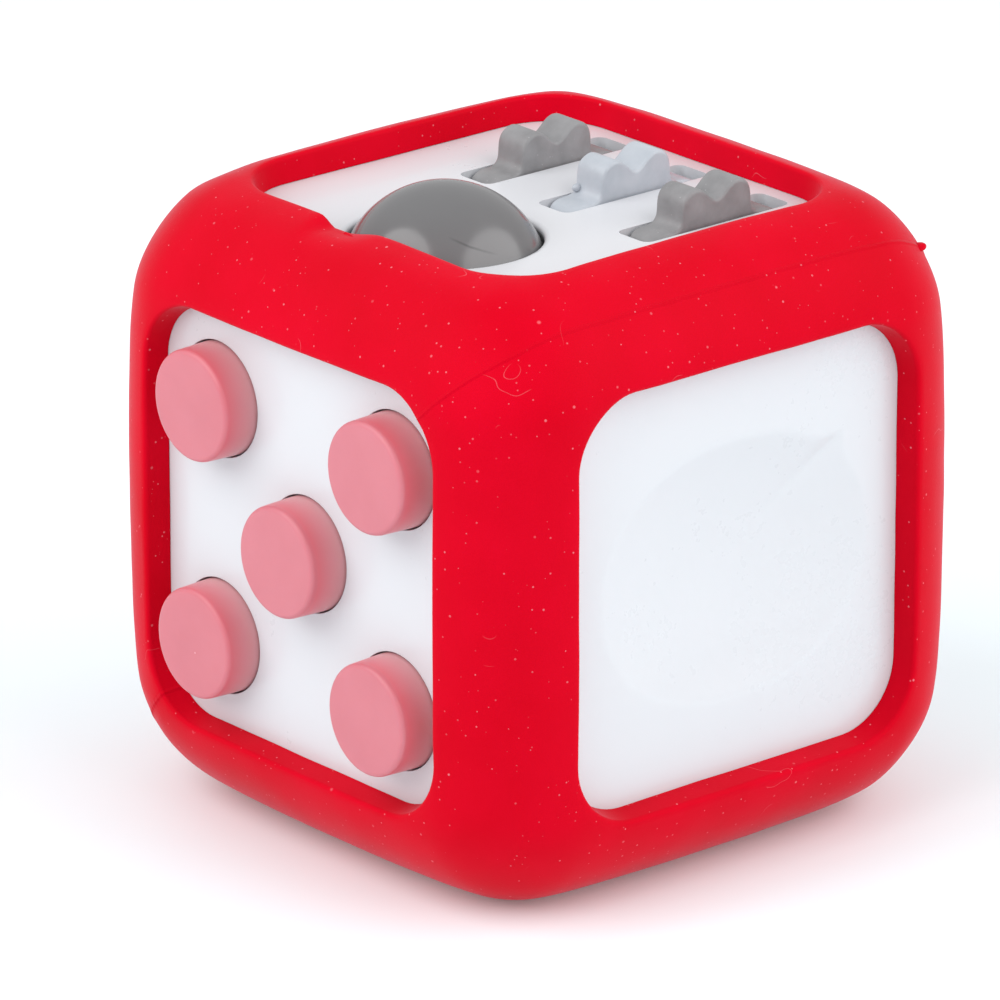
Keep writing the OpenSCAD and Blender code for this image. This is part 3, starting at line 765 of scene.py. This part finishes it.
def makeWorryPanel():  # a slab with a thumb dish, its back a little smaller than its front
    deselectAll()
    bpy.ops.mesh.primitive_grid_add(x_subdivisions=dish["grid"], y_subdivisions=dish["grid"],
        size=2 * dish["side"] * mm)
    obj = named("worry-panel")
    border = dish["side"] * mm * 0.9999
    front = -0.01 * mm

    def onBorder(p, q):
        return any(min(abs(p[i]), abs(q[i])) > border for i in (0, 1))

    pickEdges(obj, onBorder)
    extrudeBy(0, 0, -dish["thick"] * mm)
    growFaces(dish["back"] / dish["side"])
    bpy.ops.mesh.edge_face_add()
    leaveEdit()
    pickEdges(obj, lambda p, q: min(p.z, q.z) > front and onBorder(p, q))
    bpy.ops.mesh.bevel(offset=dish["edge"] * mm, segments=3)
    leaveEdit()
    for spot in obj.data.vertices:
        if spot.co.z > front and max(abs(spot.co.x), abs(spot.co.y)) < dish["reach"] * mm:
            spot.co.z -= dishDepth(spot.co.x / mm, spot.co.y / mm) * mm
    obj.data.transform(faceMatrix("worry") @ Matrix.Translation((0, 0, panelTop * mm)))
    lugs = [makeLug(side, at) for side in (-1, 1) for at in (-lug["at"], lug["at"])]
    obj = joined(obj, *lugs)
    tuckCorners(obj)
    smooth(obj, 35)
    return obj


def makeLug(side, at):  # a glued block that holds the panel's edge to its neighbour
    deselectAll()
    bpy.ops.mesh.primitive_cube_add(size=1)
    obj = named("lug")
    obj.data.transform(Matrix.Diagonal((*(c * mm for c in lug["size"]), 1)))
    pickFaces(obj, lambda face: face.normal.y * side > 0.9)
    bpy.ops.mesh.inset(thickness=lug["inset"] * mm)
    extrudeBy(0, lug["tip"] * mm * side, 0)
    leaveEdit()
    place = Matrix.Translation((at * mm, side * lug["out"] * mm, lug["out"] * mm))
    obj.data.transform(faceMatrix("worry") @ place)
    return obj


panels["worry_panel"] = makeWorryPanel()
print("worry panel made")


buttonShape = {
    "flange": 3.5, "flangeThick": 0.7, "flangeEdge": 0.08, "radius": 3.02, "draft": 0.13, "edge": 0.27,
    "crown": 0.03, "crownRings": (0.35, 0.6, 0.7), "sides": 96,
    "shorter": 0.1, "leftShorter": 0.26, "turn": 0.7,  # the left pair stands a little lower
}


def makeButton(shorter):  # stands on its flange at the origin, facing +Z
    low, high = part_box("button_centre")
    tall = high.y - low.y - shorter * mm
    thick = buttonShape["flangeThick"] * mm
    deselectAll()
    bpy.ops.mesh.primitive_cylinder_add(vertices=buttonShape["sides"], radius=buttonShape["flange"] * mm,
        depth=thick)
    obj = named("button")
    obj.data.transform(Matrix.Translation((0, 0, thick / 2)))
    pickFaces(obj, lambda face: face.normal.z > 0.9)
    bpy.ops.mesh.inset(thickness=(buttonShape["flange"] - buttonShape["radius"]) * mm)
    extrudeBy(0, 0, tall - thick - buttonShape["crown"] * mm)
    growFaces(1 - buttonShape["draft"] / buttonShape["radius"])
    bpy.ops.mesh.bevel(offset=buttonShape["edge"] * mm, segments=6)
    leaveEdit()
    top = tall - 0.2 * mm
    pickFaces(obj, lambda face: face.normal.z > 0.99 and face.center.z > top and len(face.vertices) > 20)
    for ring in buttonShape["crownRings"]:
        bpy.ops.mesh.inset(thickness=ring * mm)
        bpy.ops.transform.translate(value=(0, 0, buttonShape["crown"] * mm / 3))
    leaveEdit()
    outside = (buttonShape["flange"] - 0.01) * mm
    pickEdges(obj, lambda p, q: max(p.z, q.z) < thick + 0.01 * mm and abs(p.z - q.z) < 0.01 * mm
        and min(p.xy.length, q.xy.length) > outside)
    bpy.ops.mesh.bevel(offset=buttonShape["flangeEdge"] * mm, segments=2)
    leaveEdit()
    smooth(obj, 35)
    return obj


buttonNames = [n for n in frame["nodes"] if n.startswith("button_")]
buttonModels = [makeButton(buttonShape["shorter"]), makeButton(buttonShape["leftShorter"])]
buttonFacing = faceMatrix("click").to_3x3().to_4x4()
buttons = {}
for node in buttonNames:
    low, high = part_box(node)
    made = copyOf(buttonModels["left" in node], node.replace("_", "-"))
    seat = Vector(((low.x + high.x) / 2, high.y, (low.z + high.z) / 2))
    turn = Matrix.Rotation(buttonShape["turn"] * len(buttons), 4, "Z")
    made.data.transform(Matrix.Translation(seat) @ buttonFacing @ turn)
    buttons[node] = made
for model in buttonModels:
    bpy.data.objects.remove(model)
print("buttons made")

ballShape = {"segments": 160, "rings": 80, "seam": 0.05, "sink": 0.9985, "turn": 68, "about": (0.3, 1, 0.2)}


def makeBall():  # a sphere with a faint moulding seam round it
    deselectAll()
    bpy.ops.mesh.primitive_uv_sphere_add(segments=ballShape["segments"], ring_count=ballShape["rings"],
        radius=ballRadius)
    obj = named("ball")

    def onSeam(p, q):
        return max(abs(p.z), abs(q.z)) < 0.001 * mm

    pickEdges(obj, onSeam)
    bpy.ops.mesh.bevel(offset=ballShape["seam"] * mm, segments=2)
    leaveEdit()
    pickEdges(obj, onSeam)
    bpy.ops.transform.resize(value=(ballShape["sink"], ballShape["sink"], 1))
    leaveEdit()
    turn = Matrix.Rotation(math.radians(ballShape["turn"]), 4, Vector(ballShape["about"]))
    obj.data.transform(Matrix.Translation(ballCentre) @ turn)
    smooth(obj, 60)
    return obj


ball = makeBall()
print("ball made")


gearShape = {"sides": 208, "teeth": 8, "root": 3.5, "tip": 4.53, "bore": 0.86, "edge": 0.2, "peak": 0.85}


def gearReach(angle):  # outline of a gear: wide soft teeth with round valleys, a valley at angle 0
    rise = ((1 - math.cos(gearShape["teeth"] * angle)) / 2) ** gearShape["peak"]
    rise = (rise + rise * rise * (3 - 2 * rise)) / 2
    return gearShape["root"] + (gearShape["tip"] - gearShape["root"]) * rise


def makeGear(name, wide):  # a ring of teeth round a bore, its axis along Z
    deselectAll()
    bpy.ops.mesh.primitive_cylinder_add(vertices=gearShape["sides"], radius=gearShape["tip"] * mm,
        depth=wide, end_fill_type="NOTHING")
    obj = named(name)
    inwards = gearShape["bore"] / gearShape["tip"]
    for side in (1, -1):
        pickEdges(obj, lambda p, q: min(p.z * side, q.z * side) > wide * 0.49
            and min(p.xy.length, q.xy.length) > 2 * mm)
        bpy.ops.mesh.extrude_region_move()
        bpy.ops.transform.resize(value=(inwards, inwards, 1), center_override=(0, 0, 0))
        leaveEdit()
    pickEdges(obj, lambda p, q: max(p.xy.length, q.xy.length) < 1.5 * mm)
    bpy.ops.mesh.bridge_edge_loops()
    bpy.ops.mesh.select_all(action="SELECT")
    bpy.ops.mesh.normals_make_consistent(inside=False)
    leaveEdit()
    for spot in obj.data.vertices:
        if spot.co.xy.length > 2 * mm:
            spot.co.xy *= gearReach(math.atan2(spot.co.x, spot.co.y)) / gearShape["tip"]
    roundEdges(obj, gearShape["edge"], 4, 50)
    return obj


gearLow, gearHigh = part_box("gear_middle")
gearModel = makeGear("gear", gearHigh.x - gearLow.x)
gearFacing = Matrix.Rotation(math.pi / 2, 4, "Z") @ Matrix.Rotation(math.pi / 2, 4, "X")
gears = {}
for node in ("gear_left", "gear_middle", "gear_right"):
    low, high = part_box(node)
    gears[node] = copyOf(gearModel, node.replace("_", "-"))
    gears[node].data.transform(Matrix.Translation((low + high) / 2) @ gearFacing)
    smooth(gears[node], 35)
bpy.data.objects.remove(gearModel)

gate = {"size": 0.27, "reach": 3.62, "turn": 133, "in": 0.3, "stretch": (0.8, 1.0, 0.8)}


def gateNub():  # what is left of the moulding gate in a valley of the light gear
    low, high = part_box("gear_middle")
    centre = (low + high) / 2
    deselectAll()
    bpy.ops.mesh.primitive_ico_sphere_add(subdivisions=3, radius=gate["size"] * mm)
    obj = named("gate nub")
    bpy.ops.object.mode_set(mode="EDIT")
    bpy.ops.mesh.select_all(action="SELECT")
    bpy.ops.transform.resize(value=gate["stretch"])
    leaveEdit()
    angle = math.radians(gate["turn"])
    arm = Vector((0, math.cos(angle), math.sin(angle))) * gate["reach"] * mm
    obj.data.transform(Matrix.Translation(Vector((low.x + gate["in"] * mm, centre.y, centre.z)) + arm))
    smooth(obj, 60)
    return obj


gears["gear_middle"] = joined(gears["gear_middle"], gateNub())
print("gears made")


capShape = {
    "sides": 96, "topEdge": 0.14, "footEdge": 0.4, "land": 0.35, "ribs": 24, "ribDepth": 0.012,
    "hollow": ((0.12, 0.08), (0.5, 0.12), (0.7, 0.1), (0.8, 0.06), (0.7, 0.03)),  # how far in, how far down
}


def makeCap():  # thumb cap with a hollow top and fine grip notches round its edge
    low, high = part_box("joystick_cap")
    radius = (high.x - low.x) / 2
    thick = high.y - low.y
    deselectAll()
    bpy.ops.mesh.primitive_cylinder_add(vertices=capShape["sides"], radius=radius, depth=thick)
    obj = named("joystick-cap")
    pickFaces(obj, lambda face: face.normal.z > 0.9)
    bpy.ops.mesh.bevel(offset=capShape["topEdge"] * mm, segments=3)
    leaveEdit()
    pickFaces(obj, lambda face: face.normal.z > 0.99 and len(face.vertices) > 20)
    bpy.ops.mesh.inset(thickness=capShape["land"] * mm)
    for inset, drop in capShape["hollow"]:
        bpy.ops.mesh.inset(thickness=inset * mm)
        bpy.ops.transform.translate(value=(0, 0, -drop * mm))
    leaveEdit()
    pickFaces(obj, lambda face: face.normal.z < -0.9)
    bpy.ops.mesh.bevel(offset=capShape["footEdge"] * mm, segments=3)
    leaveEdit()
    for spot in obj.data.vertices:
        angle = math.atan2(spot.co.y, spot.co.x)
        if spot.co.xy.length > radius - 0.02 * mm and abs(spot.co.z) < thick / 2 - 0.1 * mm:
            notch = (0.5 + 0.5 * math.cos(angle * capShape["ribs"])) ** 4
            spot.co.xy *= 1 - capShape["ribDepth"] * notch
    turn = faceMatrix("glide").to_3x3().to_4x4()
    obj.data.transform(Matrix.Translation((low + high) / 2) @ turn)
    smooth(obj, 35)
    return obj


hiddenEdges = {"rocker": 0.22, "rockerSteps": 4, "dial": 0.1}
cap = makeCap()
rocker = mergedCopy("switch_rocker", "switch-rocker", hiddenEdges["rocker"], hiddenEdges["rockerSteps"])
dial = mergedCopy("spin_dial", "spin-dial", hiddenEdges["dial"])
print("hidden faces made")


windSteps = 28  # straight lengths in one turn of a spring
springs = {
    "ball_spring": {"wire": 0.2, "turns": 4.5, "axis": "roll", "outer": 1.8},
    "joystick_spring": {"wire": 0.17, "turns": 3, "axis": "glide", "outer": 1.9},
    "dial_detent_spring": {"wire": 0.09, "turns": 5, "axis": "spin", "outer": 0.55},
}


def makeSpring(node, shape):  # a wire wound by a screw between the ends of the CAD spring
    low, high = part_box(node)
    out = Vector(faceAxes[shape["axis"]][2])
    tall = abs((high - low).dot(out))
    wire = shape["wire"] * mm
    deselectAll()
    bpy.ops.mesh.primitive_circle_add(vertices=12, radius=wire, fill_type="NOTHING")
    obj = named(node.replace("_", "-"))
    reach = shape["outer"] * mm - wire
    obj.data.transform(Matrix.Translation((reach, 0, wire)) @ Matrix.Rotation(math.pi / 2, 4, "X"))
    screw = obj.modifiers.new("winding", "SCREW")
    screw.angle = math.tau * shape["turns"]
    screw.screw_offset = tall - 2 * wire
    screw.steps = int(windSteps * shape["turns"])
    screw.render_steps = screw.steps
    screw.use_merge_vertices = False
    screw.use_normal_calculate = True
    applyAll(obj)
    bpy.ops.object.mode_set(mode="EDIT")
    bpy.ops.mesh.select_all(action="SELECT")
    bpy.ops.mesh.fill_holes(sides=16)
    bpy.ops.mesh.normals_make_consistent(inside=False)
    leaveEdit()
    base = (low + high) / 2 - out * tall / 2
    obj.data.transform(Matrix.Translation(base) @ faceMatrix(shape["axis"]).to_3x3().to_4x4())
    smooth(obj, 50)
    return obj


dome = {
    "tall": 1.63, "base": 2.1, "top": 1.4, "hollow": 1.37, "depth": 1.0, "narrow": 0.66, "edge": 0.12,
    "sides": 40, "keep": 0.48,
}


def makePadSheet():  # the flat part of the dome pad, up to where the domes stand on it
    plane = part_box("dome_pad")[0].y + dome["tall"] * mm
    obj = mergedCopy("dome_pad", "dome-pad", 0)
    selectOnly(obj)
    bpy.ops.object.mode_set(mode="EDIT")
    bpy.ops.mesh.select_all(action="SELECT")
    bpy.ops.mesh.bisect(plane_co=(0, plane, 0), plane_no=(0, 1, 0), use_fill=True, clear_inner=True)
    leaveEdit()
    return obj, plane


def makeDome(node, plane):  # the hollow dome behind one button
    low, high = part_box(node)
    deselectAll()
    bpy.ops.mesh.primitive_cone_add(vertices=dome["sides"], radius1=dome["base"] * mm,
        radius2=dome["top"] * mm, depth=dome["tall"] * mm)
    obj = named(node.replace("button_", "dome_"))
    pickFaces(obj, lambda face: face.normal.z < -0.9)
    bpy.ops.mesh.inset(thickness=(dome["base"] - dome["hollow"]) * mm)
    extrudeBy(0, 0, dome["depth"] * mm)
    growFaces(dome["narrow"])
    leaveEdit()
    roundEdges(obj, dome["edge"], 2, 50)
    obj.data.transform(Matrix.Rotation(math.radians(90), 4, "X"))
    place = ((low.x + high.x) / 2, plane - dome["tall"] / 2 * mm, (low.z + high.z) / 2)
    obj.data.transform(Matrix.Translation(place))
    return obj


padSheet, padPlane = makePadSheet()
domePieces = {node: makeDome(node, padPlane) for node in buttonNames}
springPieces = {node: makeSpring(node, shape) for node, shape in springs.items()}
print("springs made")

sleeve = joined(sleeve, makeNub())
sleeve.name = "sleeve"
finishPiece(sleeve, "cube", ["rubber_frame"], materials["silicone"])
for node, obj in panels.items():
    finishPiece(obj, "cube", [node], materials["panel"])
for node, obj in buttons.items():
    finishPiece(obj, node, [node], materials["pushButton"])
finishPiece(ball, "ball", ["roll_ball"], materials["ball"])
for node, obj in gears.items():
    light = node == "gear_middle"
    finishPiece(obj, node, [node],
        materials["lightGear" if light else "darkGear"])
finishPiece(cap, "joystick", ["joystick_cap"], materials["darkGear"])
finishPiece(rocker, "rocker", ["switch_rocker"], materials["button"])
finishPiece(dial, "dial", ["spin_dial"], materials["lightGear"])
for node, obj in springPieces.items():
    finishPiece(obj, "" if node == "joystick_spring" else "cube", [node], materials["steel"])
finishPiece(padSheet, "cube", ["dome_pad"], materials["pad"])
smooth(padSheet, 35)
for node, obj in domePieces.items():
    low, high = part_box(node)
    finishPiece(obj, "cube", ["dome_pad"], materials["pad"])
    smooth(obj, 35)
    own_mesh(obj)
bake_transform(springPieces["joystick_spring"])
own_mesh(springPieces["ball_spring"])

slotLooks = {
    "inner_plastic": "inner", "silicone_pad": "pad", "steel": "steel", "panel": "panel", "button": "button",
}
for row in frame["record"]["subparts"]:
    node = frame["nodes"][row["node"]]
    if not node.hide_render:
        node.data.materials.clear()
        node.data.materials.append(materials[slotLooks[row["material_slot"]]])
print("pieces placed")


view = {
    "azimuth": 49.514, "elevation": 20.098, "away": 0.46003, "right": -0.001819, "up": -0.000662,
    "lens": 326.1,
}
azimuth, elevation = math.radians(view["azimuth"]), math.radians(view["elevation"])
level = math.cos(elevation)
viewBack = Vector((math.sin(azimuth) * level, -math.cos(azimuth) * level, math.sin(elevation)))
viewRight = Vector((math.cos(azimuth), math.sin(azimuth), 0))
viewUp = viewBack.cross(viewRight)

studio = {
    "world": 0.7, "worldColour": (0.985, 0.99, 1.0, 1), "floor": (0.79, 0.87, 0.90), "glow": 0.1,
    "away": 0.42,
    "lights": {
        "left softbox": {"towards": (-0.172, -0.746, 0.643), "size": (0.56, 0.4), "power": 1.35},
        "right softbox": {"towards": (0.716, 0.397, 0.574), "size": (0.66, 0.4), "power": 1.25},
    },
}


def makeFloor():
    deselectAll()
    bpy.ops.mesh.primitive_plane_add(size=3)
    floor = named("floor")
    material, tree, shader, place = newMaterial("pale floor", {"Roughness": 0.5, "Specular IOR Level": 0.2,
        "Emission Color": (1, 1, 1, 1), "Emission Strength": studio["glow"]})
    shade = noiseNode(tree, place, 40.0, 2)
    lighter = tuple(c + 0.008 for c in studio["floor"])
    tree.links.new(mixColours(tree, shade, studio["floor"], lighter), shader.inputs["Base Color"])
    floor.data.materials.append(material)


def makeLight(name, lamp):
    data = bpy.data.lights.new(name, "AREA")
    data.shape = "ELLIPSE"
    data.size, data.size_y = lamp["size"]
    data.energy = lamp["power"]
    obj = bpy.data.objects.new(name, data)
    bpy.context.scene.collection.objects.link(obj)
    direction = Vector(lamp["towards"]).normalized()
    obj.location = middle + direction * studio["away"]
    obj.rotation_mode = "QUATERNION"
    obj.rotation_quaternion = direction.to_track_quat("Z", "Y")


def makeWorld():
    world = bpy.data.worlds.new("studio")
    bpy.context.scene.world = world
    world.use_nodes = True
    background = next(n for n in world.node_tree.nodes if n.type == "BACKGROUND")
    background.inputs["Color"].default_value = studio["worldColour"]
    background.inputs["Strength"].default_value = studio["world"]


def makeCamera():
    data = bpy.data.cameras.new("camera")
    data.lens = view["lens"]
    data.sensor_width = 36
    data.clip_start = 0.01
    data.clip_end = 20
    camera = bpy.data.objects.new("camera", data)
    bpy.context.scene.collection.objects.link(camera)
    camera.location = middle + viewBack * view["away"] + viewRight * view["right"] + viewUp * view["up"]
    camera.rotation_mode = "QUATERNION"
    camera.rotation_quaternion = Matrix((viewRight, viewUp, viewBack)).transposed().to_quaternion()
    bpy.context.scene.camera = camera


makeFloor()
for name, lamp in studio["lights"].items():
    makeLight(name, lamp)
makeWorld()
makeCamera()
bpy.context.scene.view_settings.view_transform = "Standard"
print("studio set")
